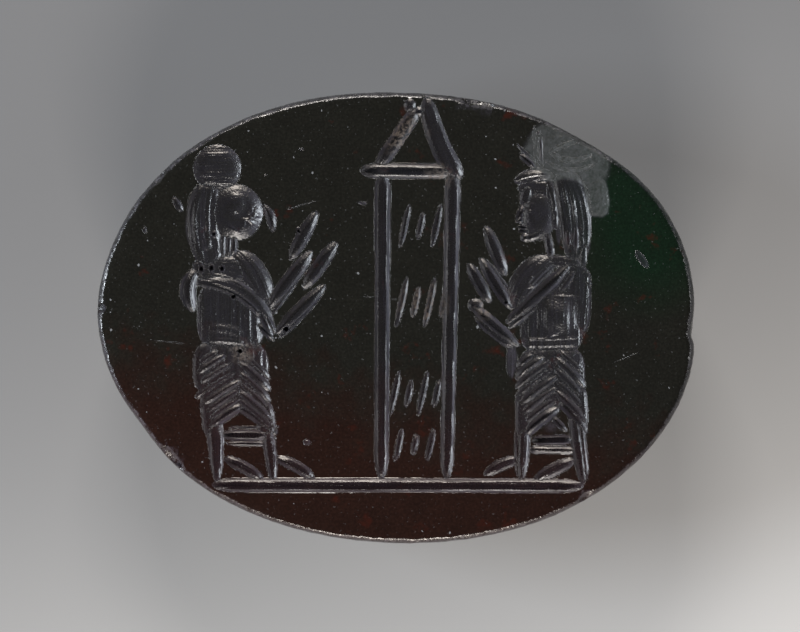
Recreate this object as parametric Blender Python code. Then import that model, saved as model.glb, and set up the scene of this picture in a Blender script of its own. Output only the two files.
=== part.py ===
"""An engraved gem of dark bloodstone, lying face up.

An oval stone with a flat polished face, a bevelled rim and a smaller flat back. The
design is cut down into the face with a small wheel and a drill: a tall gabled shrine
between two standing figures with raised hands, one bird-headed, over a ground line.
Sizes are in millimetres, with x to the right and y up the face, and the origin at the
middle of the back.
"""

import math
from collections import namedtuple

import bmesh
import bpy
from mathutils import Matrix, Vector

MM = 0.001

# The stone
HALF_LENGTH = 8.503
HALF_WIDTH = 6.440
THICKNESS = 3.0
OVAL_MIDDLE = (0.094, 0.027)
OVAL_FULLNESS = 2.07
OVAL_TURN = math.radians(-2.1)
OUTLINE_POINTS = 96

# Height and inset of each ring of the side, from the back up to the edge of the face
SIDE_RINGS = ((0.0, 1.15), (0.14, 0.9), (1.2, 0.42), (2.3, 0.04), (2.62, 0.0), (2.86, 0.03), (THICKNESS, 0.17))

# Where the outline leaves the true oval: angle and spread in degrees, and amount
UNEVENNESS = ((181, 13, 0.09), (212, 10, -0.12), (34, 13, 0.07), (54, 8, -0.05), (90, 18, -0.05), (3, 10, -0.09))

# The cuts
CUT_TOP = 0.25
CUT_LIFT = 0.035
CUT_SIDES = 8
CUT_RINGS = 5
HOLLOW_POINTS = 20

STONE_COLOUR = (0.035, 0.045, 0.026, 1.0)
STONE_ROUGHNESS = 0.25

Cut = namedtuple("Cut", "start end width depth end_width blunt floor")
Hollow = namedtuple("Hollow", "middle width height depth narrowing corner turn")
Chip = namedtuple("Chip", "angle inset along across depth height")


def cut(start, end, width, depth, end_width=None, blunt=0.3, floor=0.0):
    """One stroke of the wheel, pointed at both ends where blunt is 0 and round-ended where it is 1."""
    return Cut(Vector(start), Vector(end), width, depth, end_width or width, blunt, floor)


def dot(middle, width, depth, floor=0.0):
    """One touch of a round drill."""
    reach = Vector((width / 2, 0))
    return Cut(Vector(middle) - reach, Vector(middle) + reach, width, depth, width, 0.0, floor)


def spread(first, last, count):
    """Evenly spaced values from first to last."""
    return [first + (last - first) * i / (count - 1) for i in range(count)]


def pleats(middle_x, first_y, last_y, count, left, right):
    """Folds that fall from a middle line to both sides, one below the other; left and right are (reach, drop)."""
    folds = []
    for y in spread(first_y, last_y, count):
        for reach, drop in ((-left[0], left[1]), right):
            folds.append(cut((middle_x, y), (middle_x + reach, y - drop), 0.25, 0.13, blunt=0.2, floor=0.24))
    return folds


def ground_line():
    return [cut((-5.2, -4.78), (5.32, -4.80), 0.37, 0.24, blunt=0.9)]


def shrine():
    """Two pillars, an architrave and a steep gable."""
    cuts = [
        cut((-0.40, 4.10), (-0.45, -4.48), 0.49, 0.44, end_width=0.40, blunt=0.8),
        cut((1.59, 4.10), (1.42, -4.48), 0.49, 0.44, end_width=0.40, blunt=0.8),
        cut((-0.96, 4.16), (1.70, 4.15), 0.47, 0.40, blunt=0.7),
        cut((-0.46, 4.20), (0.60, 5.90), 0.43, 0.36, blunt=0.5),
        cut((1.93, 4.02), (0.92, 6.22), 0.56, 0.40, end_width=0.46, blunt=0.4),
        dot((0.46, 6.05), 0.36, 0.24),
        dot((0.63, 5.86), 0.30, 0.42),
    ]
    return cuts


def inscription_strokes():
    """Four rows of short slanting strokes down the middle of the shrine, which spell nothing."""
    rows = ((2.62, 0.70, 1.25, 3), (0.45, 0.76, 1.45, 4), (-2.14, 0.56, 1.30, 4), (-3.60, 0.53, 0.95, 3))
    cuts = []
    for y, middle_x, height, count in rows:
        half_spread = 0.15 * count
        for i, x in enumerate(spread(middle_x - half_spread, middle_x + half_spread, count)):
            half = height / 2 * (1.0 if i % 2 == 0 else 0.62)
            cuts.append(cut((x - 0.22 * half, y - half), (x + 0.22 * half, y + half), 0.19, 0.20))
    return cuts


def bird_headed_figure():
    """The standing figure on the left, facing right, with a disc on its head."""
    cuts = [
        dot((-5.085, 4.26), 1.36, 0.36),
        dot((-4.35, 2.98), 1.36, 0.40),
        dot((-4.55, 3.21), 0.62, 0.54),
        cut((-3.78, 3.20), (-3.48, 2.42), 0.28, 0.26, blunt=0.1),
        cut((-4.72, 2.25), (-4.72, 1.75), 0.40, 0.26),
        cut((-5.78, 1.25), (-5.78, 0.18), 0.43, 0.26),
        cut((-4.56, 2.10), (-3.62, 0.34), 0.74, 0.42, blunt=0.2),
        cut((-5.62, 1.12), (-4.45, 1.24), 0.40, 0.30),
        cut((-4.62, 1.24), (-3.85, 0.66), 0.45, 0.32),
        dot((-3.44, -0.68), 0.40, 0.26),
    ]
    for i, x in enumerate(spread(-5.78, -4.86, 5)):
        bulge = -0.10 * math.sin(math.pi * i / 4)
        cuts.append(cut((x + bulge, 3.42 + 0.16 * math.sin(math.pi * i / 4)), (x, 1.80), 0.25, 0.30))
    for x in spread(-5.53, -4.96, 3):
        cuts.append(cut((x, 1.56), (x, 1.20), 0.17, 0.20))
    for shift in (0.0, 0.24):
        cuts.append(cut((-4.08 + shift, 0.62), (-3.47 + shift, -0.62), 0.22, 0.30))
    hands = (
        ((-2.98, 1.76), (-2.28, 3.00), 0.40),
        ((-3.58, 0.40), (-2.43, 1.87), 0.48),
        ((-2.60, 0.86), (-1.66, 2.16), 0.43),
        ((-3.32, -0.48), (-2.00, 0.88), 0.48),
    )
    cuts += [cut(start, end, width, 0.34, blunt=0.15) for start, end, width in hands]
    cuts += [
        cut((-5.45, -0.30), (-4.20, -0.62), 0.16, 0.10, floor=0.22),
        cut((-5.66, -0.76), (-3.62, -0.80), 0.20, 0.12, blunt=0.6, floor=0.24),
    ]
    cuts += pleats(-4.44, -1.06, -2.46, 6, (1.04, 0.62), (0.80, 0.76))
    cuts += [
        cut((-4.86, -3.32), (-3.58, -3.38), 0.31, 0.30),
        cut((-5.24, -3.36), (-4.93, -4.60), 0.43, 0.34, end_width=0.34),
        cut((-3.66, -3.30), (-3.38, -4.62), 0.42, 0.34, end_width=0.32),
        cut((-4.86, -3.95), (-3.74, -4.60), 0.34, 0.28),
        cut((-3.42, -3.88), (-2.32, -4.58), 0.37, 0.28),
    ]
    body = [
        Hollow((-4.70, 0.12), 1.96, 1.96, 0.24, 0.96, 3.0, 0.0),
        Hollow((-4.58, -1.88), 2.08, 2.46, 0.26, 1.04, 3.2, math.radians(4)),
    ]
    return cuts, body


def crowned_figure():
    """The standing figure on the right, facing left, with a plain head and a damaged crown."""
    cuts = [
        cut((4.36, 4.66), (5.38, 4.56), 0.56, 0.36),
        cut((3.53, 4.66), (3.97, 4.24), 0.26, 0.24),
        cut((3.36, 3.80), (4.22, 4.28), 0.38, 0.28),
        cut((4.26, 2.52), (4.66, 1.60), 0.36, 0.26),
        cut((4.40, 1.84), (3.22, 0.38), 0.71, 0.42, blunt=0.2),
        cut((5.00, 1.66), (3.10, -0.10), 0.42, 0.34, blunt=0.2),
    ]
    cuts += [cut((x, 5.50), (x + 0.06, 4.26), 0.20, 0.26) for x in spread(3.86, 4.13, 2)]
    cuts += plain_head()
    for i, x in enumerate(spread(4.42, 5.40, 6)):
        foot_y = 1.85 - 0.10 * i
        cuts.append(cut((x, 3.92 - 0.06 * i), (x + 0.05 * i - 0.05, foot_y), 0.22, 0.30))
    hands = (
        ((2.62, 2.56), (3.06, 1.20), 0.43),
        ((2.48, 1.72), (3.26, 0.22), 0.37),
        ((2.08, 1.62), (2.58, 0.55), 0.31),
        ((2.30, 0.38), (3.54, -0.84), 0.51),
    )
    cuts += [cut(start, end, width, 0.34, blunt=0.15) for start, end, width in hands]
    cuts += [cut((3.44, y), (5.40, y - 0.02), 0.17, 0.12, blunt=0.6, floor=0.22) for y in (-0.60, -0.82, -1.04)]
    cuts += pleats(4.55, -1.22, -2.40, 5, (0.98, 0.76), (0.78, 0.76))
    cuts += [
        cut((3.57, -2.96), (3.62, -4.58), 0.45, 0.34, end_width=0.32),
        cut((5.02, -2.66), (5.42, -4.68), 0.42, 0.34, end_width=0.34),
        cut((3.76, -3.66), (5.02, -3.70), 0.34, 0.30),
        cut((2.52, -4.46), (3.46, -3.98), 0.34, 0.28),
        cut((3.92, -4.58), (5.08, -4.02), 0.34, 0.28),
    ]
    body = [
        Hollow((4.92, 0.72), 1.12, 1.72, 0.28, 0.80, 2.4, math.radians(12)),
        Hollow((4.44, -0.02), 1.98, 1.90, 0.24, 1.00, 3.0, 0.0),
        Hollow((4.44, -2.06), 2.02, 2.30, 0.26, 1.00, 3.2, math.radians(-3)),
    ]
    return cuts, body


def plain_head():
    """A small plain profile on even thirds: brow, nose and chin at the same spacing."""
    front, top, third = 3.46, 3.60, 0.44
    return [
        cut((front + 0.44, top + 0.10), (front + 0.50, top - 3.2 * third), 0.86, 0.34),
        cut((front + 0.12, top - third), (front - 0.06, top - 1.9 * third), 0.17, 0.20, blunt=0.1),
        dot((front + 0.20, top - 3.0 * third), 0.26, 0.22),
    ]


def losses():
    """Shallow flakes off the face, and chips out of the rim."""
    flakes = [
        Hollow((4.86, 4.52), 2.56, 1.72, 0.09, 0.82, 2.6, math.radians(-27)),
        Hollow((5.66, 3.46), 0.86, 1.30, 0.07, 0.90, 2.6, math.radians(10)),
    ]
    chips = [
        Chip(179, 0.05, 0.42, 0.30, 0.36, THICKNESS),
        Chip(-1.6, -0.10, 1.10, 0.36, 0.95, THICKNESS - 0.1),
        Chip(145, 0.04, 1.90, 0.24, 0.22, THICKNESS),
        Chip(222, 0.02, 1.10, 0.26, 0.26, THICKNESS),
        Chip(76, 0.04, 1.30, 0.22, 0.22, THICKNESS),
        Chip(-50, 0.04, 0.50, 0.22, 0.24, THICKNESS),
    ]
    return flakes, chips


def outline(angle, inset):
    """A point of the outline, this far inside it, in millimetres."""
    across, up = math.cos(angle), math.sin(angle)
    share = (abs(across) ** OVAL_FULLNESS + abs(up) ** OVAL_FULLNESS) ** (-1 / OVAL_FULLNESS)
    point = Vector((HALF_LENGTH * across, HALF_WIDTH * up)) * share
    degrees = math.degrees(angle) % 360
    for place, width, amount in UNEVENNESS:
        away = (degrees - place + 180) % 360 - 180
        point += point.normalized() * amount * math.exp(-((away / width) ** 2))
    slope = Vector((across / HALF_LENGTH, up / HALF_WIDTH)).normalized()
    point -= slope * inset
    return Matrix.Rotation(OVAL_TURN, 2) @ point + Vector(OVAL_MIDDLE)


def new_object(name, shape, collection):
    """An object made from a bmesh whose sizes are in millimetres."""
    shape.normal_update()
    bmesh.ops.recalc_face_normals(shape, faces=shape.faces)
    shape.transform(Matrix.Scale(MM, 4))
    mesh = bpy.data.meshes.new(name)
    shape.to_mesh(mesh)
    shape.free()
    obj = bpy.data.objects.new(name, mesh)
    collection.objects.link(obj)
    return obj


def add_stone(collection):
    """The blank: a disc on the back, raised ring by ring to the edge of the face."""
    shape = bmesh.new()
    bmesh.ops.create_circle(shape, cap_ends=True, segments=OUTLINE_POINTS, radius=1.0)
    top = shape.faces[:]
    angles = {vert: math.atan2(vert.co.y, vert.co.x) for vert in shape.verts}
    for ring, (height, inset) in enumerate(SIDE_RINGS):
        if ring:
            old = {tuple(vert.co): angles[vert] for vert in top[0].verts}
            raised = bmesh.ops.extrude_face_region(shape, geom=top, use_keep_orig=ring == 1)["geom"]
            if ring > 1:
                bmesh.ops.delete(shape, geom=[face for face in top if face.is_valid], context="FACES_ONLY")
            top = [part for part in raised if isinstance(part, bmesh.types.BMFace)]
            angles = {vert: old[tuple(vert.co)] for vert in top[0].verts}
        for vert in top[0].verts:
            place = outline(angles[vert], inset)
            vert.co = (place.x, place.y, height)
    return new_object("engraved_gem", shape, collection)


def add_cut(name, stroke, collection):
    """A trench with a round bottom that follows one stroke and stands clear of the face above."""
    shape = bmesh.new()
    bmesh.ops.create_uvsphere(shape, u_segments=CUT_SIDES, v_segments=CUT_RINGS, radius=1.0)
    length = (stroke.end - stroke.start).length
    along = (stroke.end - stroke.start).normalized()
    across = Vector((-along.y, along.x))
    widest = max(stroke.width, stroke.end_width)
    cap = length / 2 + (min(widest, length) / 2 - length / 2) * stroke.blunt
    for vert in shape.verts:
        side, rise, run = vert.co
        place = math.copysign(length / 2 - cap, run) + run * cap
        share = place / length + 0.5
        width = stroke.width + (stroke.end_width - stroke.width) * share
        if abs(run) > 0.999:
            level, side = CUT_LIFT, 0.0
        elif rise > 0.01:
            level = CUT_TOP
            side = math.copysign(math.sqrt(1 - run * run), side) if abs(side) > 0.01 else 0.0
        else:
            level = CUT_LIFT - stroke.floor + rise * (stroke.depth + CUT_LIFT) * width / widest
        middle = (stroke.start + stroke.end) / 2 + along * place + across * side * width / 2
        vert.co = (middle.x, middle.y, THICKNESS + level)
    return new_object(name, shape, collection)


def add_hollow(name, hollow, collection):
    """A broad shallow recess with rounded corners and sloping walls."""
    shape = bmesh.new()
    bmesh.ops.create_circle(shape, cap_ends=True, segments=HOLLOW_POINTS, radius=1.0)
    turn = Matrix.Rotation(hollow.turn, 2)

    def place(x, y, share, level):
        fullness = (abs(x) ** hollow.corner + abs(y) ** hollow.corner) ** (-1 / hollow.corner)
        x, y = x * fullness * share, y * fullness * share
        width = hollow.width * (1 + (hollow.narrowing - 1) * (y + 1) / 2)
        spot = turn @ Vector((x * width / 2, y * hollow.height / 2)) + Vector(hollow.middle)
        return spot.x, spot.y, THICKNESS + level

    floor = shape.faces[:]
    plan = {tuple(vert.co): (vert.co.x, vert.co.y) for vert in shape.verts}
    raised = bmesh.ops.extrude_face_region(shape, geom=floor, use_keep_orig=True)["geom"]
    upper = {part for part in raised if isinstance(part, bmesh.types.BMVert)}
    for vert in shape.verts:
        x, y = plan[tuple(vert.co)]
        vert.co = place(x, y, 1.02, CUT_TOP) if vert in upper else place(x, y, 0.90, -hollow.depth)
    return new_object(name, shape, collection)


def add_chip(name, chip, collection):
    """A rounded bite at the rim."""
    shape = bmesh.new()
    bmesh.ops.create_uvsphere(shape, u_segments=CUT_SIDES + 2, v_segments=CUT_RINGS + 1, radius=1.0)
    spot = outline(math.radians(chip.angle), chip.inset)
    ahead = outline(math.radians(chip.angle + 1), chip.inset) - spot
    turn = Matrix.Rotation(math.atan2(ahead.y, ahead.x), 4, "Z")
    size = Matrix.Diagonal((chip.along / 2, chip.across, chip.depth, 1.0))
    shape.transform(Matrix.Translation((spot.x, spot.y, chip.height)) @ turn @ size)
    return new_object(name, shape, collection)


def stone_material():
    material = bpy.data.materials.new("bloodstone")
    material.use_nodes = True
    shader = material.node_tree.nodes["Principled BSDF"]
    shader.inputs["Base Color"].default_value = STONE_COLOUR
    shader.inputs["Roughness"].default_value = STONE_ROUGHNESS
    shader.inputs["Metallic"].default_value = 0.0
    return material


def main():
    for obj in list(bpy.data.objects):
        bpy.data.objects.remove(obj)
    part = bpy.data.collections.new("engraved gem")
    cutters = bpy.data.collections.new("cutters")
    for collection in (part, cutters):
        bpy.context.scene.collection.children.link(collection)

    stone = add_stone(part)
    stone.data.materials.append(stone_material())

    bird_cuts, bird_body = bird_headed_figure()
    crown_cuts, crown_body = crowned_figure()
    flakes, chips = losses()
    strokes = ground_line() + shrine() + inscription_strokes() + bird_cuts + crown_cuts
    made = [add_hollow(f"hollow_{i}", hollow, cutters) for i, hollow in enumerate(bird_body + crown_body + flakes)]
    made += [add_chip(f"chip_{i}", chip, cutters) for i, chip in enumerate(chips)]
    made += [add_cut(f"cut_{i}", stroke, cutters) for i, stroke in enumerate(strokes)]
    for cutter in made:
        cutter.hide_render = True
        cutter.display_type = "WIRE"

    engraving = stone.modifiers.new("engraving", "BOOLEAN")
    engraving.operation = "DIFFERENCE"
    engraving.solver = "EXACT"
    engraving.operand_type = "COLLECTION"
    engraving.collection = cutters


main()
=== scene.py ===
"""The looks of an engraved gem: dark bloodstone, polished face, frosted wheel-cut design.

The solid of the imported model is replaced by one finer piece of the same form. Sizes
in the lists below are millimetres on the face, x to the right and y up, as in the solid.
"""

import math
from collections import namedtuple
from functools import partial

import bmesh
import bpy
import numpy as np
from bpy.props import FloatProperty, FloatVectorProperty, IntProperty, PointerProperty
from mathutils import Euler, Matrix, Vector


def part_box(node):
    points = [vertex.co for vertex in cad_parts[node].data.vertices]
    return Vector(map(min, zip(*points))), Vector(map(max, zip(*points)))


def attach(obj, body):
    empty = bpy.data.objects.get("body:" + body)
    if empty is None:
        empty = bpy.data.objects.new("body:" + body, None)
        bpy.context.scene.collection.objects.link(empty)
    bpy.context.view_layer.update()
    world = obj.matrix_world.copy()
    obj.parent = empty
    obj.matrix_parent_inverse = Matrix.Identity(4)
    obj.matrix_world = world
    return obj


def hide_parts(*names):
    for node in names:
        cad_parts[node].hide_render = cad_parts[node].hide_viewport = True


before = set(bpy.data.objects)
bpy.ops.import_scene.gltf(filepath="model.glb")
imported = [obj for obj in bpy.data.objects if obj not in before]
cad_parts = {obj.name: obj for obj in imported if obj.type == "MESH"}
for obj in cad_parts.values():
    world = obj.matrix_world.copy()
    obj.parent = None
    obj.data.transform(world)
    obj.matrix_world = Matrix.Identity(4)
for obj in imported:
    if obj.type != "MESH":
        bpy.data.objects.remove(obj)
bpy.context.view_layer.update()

bl_info = {
    "name": "Engraved gem",
    "version": (1, 0, 0),
    "blender": (4, 5, 0),
    "location": "3D View > Sidebar > Gem",
    "description": "Builds an engraved bloodstone gem and the table that it lies on",
    "category": "Object",
}

MM = 0.001
NODE = "engraved_gem"

# The oval of the solid, in millimetres
OVAL_MIDDLE = (0.094, 0.027)
OVAL_FULLNESS = 2.07
OVAL_TURN = math.radians(-2.1)

# Where the outline leaves the true oval: angle and spread in degrees, and amount
UNEVENNESS = (
    (181, 13, 0.09), (212, 10, -0.12), (34, 13, 0.07), (54, 8, -0.05), (90, 18, -0.05), (3, 10, -0.09),
)

# The dent in the right edge, in the same terms, and how far down the side it runs out
DENT = ((0, 3.5, 0.09), (-2, 1.5, 0.06))
DENT_DROP = 1.6

# Height below the face and inset of each ring of the side, from the back up to the edge of the face
SIDE_RINGS = (
    (3.0, 1.15), (2.95, 1.01), (2.86, 0.90), (2.35, 0.66), (1.8, 0.42), (1.2, 0.20), (0.7, 0.04), (0.38, 0.0),
    (0.22, 0.01), (0.14, 0.025), (0.09, 0.05), (0.04, 0.09), (0.0, 0.15),
)

# The rough edge of the rim: how far chips may eat into it, how far down they fade out, and for coarse and
# fine chips the number to one radian, the number to one millimetre down, their strength and the seed
RIM_ROUGHNESS = 0.035
RIM_ROUGH_DROP = 0.6
RIM_CHIPS = ((28, 9, 1.0, 11), (75, 16, 0.7, 12))

# Floors at this share of the solid's depth give walls that catch the light as in the photo
SHALLOW = 0.65

# Width of the finest soft stroke that the mesh still shows without steps
FINEST = 0.13

# How far the edge of a stroke wanders, and the width up to which it wanders fully
RAGGED = 0.035
RAGGED_WIDTH = 0.3

# Depth at which a cut is frosted all over, the depths between which its lip gets a painted glint, and the
# height of the grit and wheel marks on its floor
FROSTED_DEPTH = 0.012
LIP_DEPTHS = (0.008, 0.034)
GRAIN_HEIGHT = 0.003

# Slopes between which a wall turns from dull to bright: the paler colour painted on steep walls as sheen
WALL_SLOPES = (0.2, 1.3)

# Where a cut is this much deeper than a flake, none of the flake's matte skin is left
MATTE_FADE = 0.03

# How far below the face the flakes reach and how much they take off there at most, and where the worn rim
# starts to fade and ends
FLAKED_DROP = 0.15
FLAKED_RIM_DEPTH = 0.05
WORN_DROPS = (0.12, 0.36)

# The map of the work on the face: its reach from the middle and its step
MAP_REACH = (9.0, 7.0)
MAP_STEP = 0.04

# How many cells of the map the finer cells reach past the work, for each time that they are halved
WORK_MARGINS = (7, 4, 2)

# Faces that meet at less than this angle are shaded smooth
SMOOTH_BELOW = math.radians(38)

# The table lies this far below the back of the gem
TABLE_GAP = 0.02 * MM

# Low soft lights: bearing and height in degrees, share of the power, warmth; and their sides in metres
LIGHTS = ((176, 24, 0.58, -0.07), (96, 26, 0.54, 0.06), (268, 26, 0.58, 0.10), (4, 24, 0.09, 0.0))
LIGHT_SIZE = (0.07, 0.03)

# The dim room round the table, in linear values
DIM_ROOM = (0.05, 0.05, 0.053, 1.0)

# Where the camera stands over the face, and the distances between which it sees
CAMERA_MIDDLE = (0.114 * MM, 0.057 * MM)
CAMERA_CLIPS = (0.001, 10.0)

Stroke = namedtuple("Stroke", "start end width depth end_width blunt flat bow corner over")
Flake = namedtuple("Flake", "middle width height depth turn")
Scoop = namedtuple("Scoop", "angle inset along across depth drop")


# The strokes of the wheel, with the depths of the solid

def stroke(x0, y0, x1, y1, width, depth, end_width=None, blunt=0.25, flat=0.0, bow=0.0, corner=2.0,
           over=False):
    """One trench from one point to another. Blunt is 0 for pointed ends and 1 for round ones, flat is the
    level share of the width, bow is how far its middle swings to the left of its run, and corner is 2 for
    oval ends and more for squarer ones. Where over is set it softly deepens what is already cut there."""
    return Stroke((x0, y0), (x1, y1), width, depth, end_width or width, blunt, flat, bow, corner, over)


def soften(x0, y0, x1, y1, width, depth, **shape):
    """A soft stroke over what is already cut, no finer than the mesh can show."""
    return stroke(x0, y0, x1, y1, max(width, FINEST), depth, over=True, **shape)


def touch(middle, width, depth, height=None, flat=0.0, over=False):
    """One touch of a round drill, or an upright oval one where a height is given."""
    reach = (height or width) / 2
    x, y = middle
    return Stroke((x, y - reach), (x, y + reach), width, depth, width, 0.0, flat, 0.0, 2.0, over)


def spread(first, last, count):
    """Evenly spaced values from first to last."""
    return [first + (last - first) * i / (count - 1) for i in range(count)]


def sweep(first, last, count, width, depth, blunt=0.25, kind=soften):
    """Strokes side by side that turn bit by bit from the first to the last; each is (start, end, bow)."""
    cuts = []
    for share in spread(0.0, 1.0, count):
        (ax, ay), (bx, by), bow = first
        (cx, cy), (dx, dy), last_bow = last
        start = (ax + (cx - ax) * share, ay + (cy - ay) * share)
        end = (bx + (dx - bx) * share, by + (dy - by) * share)
        bend = bow + (last_bow - bow) * share
        cuts.append(kind(*start, *end, width, depth, blunt=blunt, bow=bend))
    return cuts


def crumble(middle, reach, count, size, depth):
    """Small broken hollows in a spiral round one spot, which glitter."""
    cuts = []
    for i in range(count):
        away, turn = reach * math.sqrt((i + 0.5) / count), i * 2.4
        spot = (middle[0] + away * math.cos(turn), middle[1] + away * math.sin(turn))
        cuts.append(touch(spot, size * (0.7 + 0.25 * (i % 3)), depth, over=True))
    return cuts


# The line on which both figures and the shrine stand
GROUND_LINE = [
    stroke(-5.26, -4.74, 5.36, -4.77, 0.42, 0.19, blunt=0.88, flat=0.3),
    soften(-5.16, -4.88, 5.22, -4.9, 0.12, 0.05, blunt=0.9),
]

# Two pillars, an architrave and a steep gable
SHRINE = [
    stroke(-0.38, 4.2, -0.41, -4.58, 0.47, 0.22, end_width=0.41, blunt=0.9, flat=0.3),
    soften(-0.26, 3.9, -0.33, -3.9, 0.14, 0.05, blunt=0.9),
    stroke(1.62, 4.2, 1.44, -4.58, 0.48, 0.22, end_width=0.38, blunt=0.9, flat=0.3),
    soften(1.74, 3.9, 1.58, -3.9, 0.14, 0.05, blunt=0.9),
    stroke(-1.02, 4.18, 1.66, 4.16, 0.44, 0.2, blunt=0.75, flat=0.35),
    stroke(-0.54, 4.24, 0.64, 5.98, 0.44, 0.2, blunt=0.6, flat=0.25),
    stroke(1.8, 3.9, 0.84, 6.28, 0.66, 0.21, end_width=0.5, blunt=0.7, flat=0.45, bow=0.13),
    soften(1.9, 4.1, 1.18, 5.8, 0.16, 0.04, bow=0.1),
    touch((0.4, 6.04), 0.34, 0.1, 0.4, flat=0.2),
    touch((0.66, 5.86), 0.34, 0.15, 0.3, flat=0.1),
]


def inscription_strokes():
    """Four rows of short slanting strokes down the middle of the shrine, which spell nothing."""
    # Middle along y and x, height and number of the strokes of each row
    rows = ((2.62, 0.7, 1.25, 3), (0.45, 0.76, 1.45, 4), (-2.14, 0.56, 1.3, 4), (-3.6, 0.53, 0.95, 3))
    cuts = []
    for y, middle_x, height, count in rows:
        half_spread = 0.15 * count
        for i, x in enumerate(spread(middle_x - half_spread, middle_x + half_spread, count)):
            half = height / 2 * (1.0 if i % 2 == 0 else 0.62)
            cuts.append(stroke(x - 0.22 * half, y - half, x + 0.22 * half, y + half, 0.2, 0.13))
    return cuts


def pleats(middle_x, folds, width, depth):
    """Folds that fall away from a middle line; each is (start beside it, start along it, reach, drop)."""
    cuts = []
    for i, (beside, y, reach, drop) in enumerate(folds):
        uneven = 0.86 + 0.14 * ((i * 2) % 3)
        start = (middle_x + beside - 0.10 * reach, y + 0.10 * drop)
        end = (middle_x + beside + 1.14 * reach, y - 1.14 * drop)
        bow = math.copysign(0.05, reach)
        cuts.append(stroke(*start, *end, width * uneven, depth * uneven, blunt=0.35, bow=bow))
    return cuts


def plain_head():
    """A small plain profile on even thirds: hairline to brow, brow to nose, nose to chin."""
    front, top, third = 3.4, 3.66, 0.48
    brow, nose, chin = top - third, top - 2 * third, top - 3 * third
    return [
        touch((front + 0.67, top - 1.50 * third), 0.98, 0.21, 1.46, flat=0.3),
        stroke(front + 0.38, top + 0.14, front + 0.22, brow - 0.02, 0.38, 0.14, blunt=0.5, flat=0.3),
        stroke(front + 0.22, brow + 0.04, front + 0.03, nose, 0.2, 0.19, blunt=0.1),
        touch((front + 0.14, nose + 0.05), 0.17, 0.15, 0.14),
        stroke(front + 0.03, nose - 0.11, front + 0.42, nose - 0.14, 0.11, 0.14),
        stroke(front + 0.06, nose - 0.23, front + 0.4, nose - 0.24, 0.11, 0.13),
        touch((front + 0.27, chin + 0.06), 0.3, 0.13, 0.26),
        stroke(front + 0.2, chin, front + 0.98, chin + 0.42, 0.26, 0.15, bow=-0.07),
        soften(front + 0.24, brow - 0.13, front + 0.5, brow - 0.15, 0.09, 0.05),
        soften(front + 0.2, brow + 0.03, front + 0.6, brow + 0.01, 0.06, 0.03, bow=0.03),
        soften(front + 0.42, brow - 0.36, front + 0.36, nose - 0.02, 0.1, 0.03),
    ]


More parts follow.
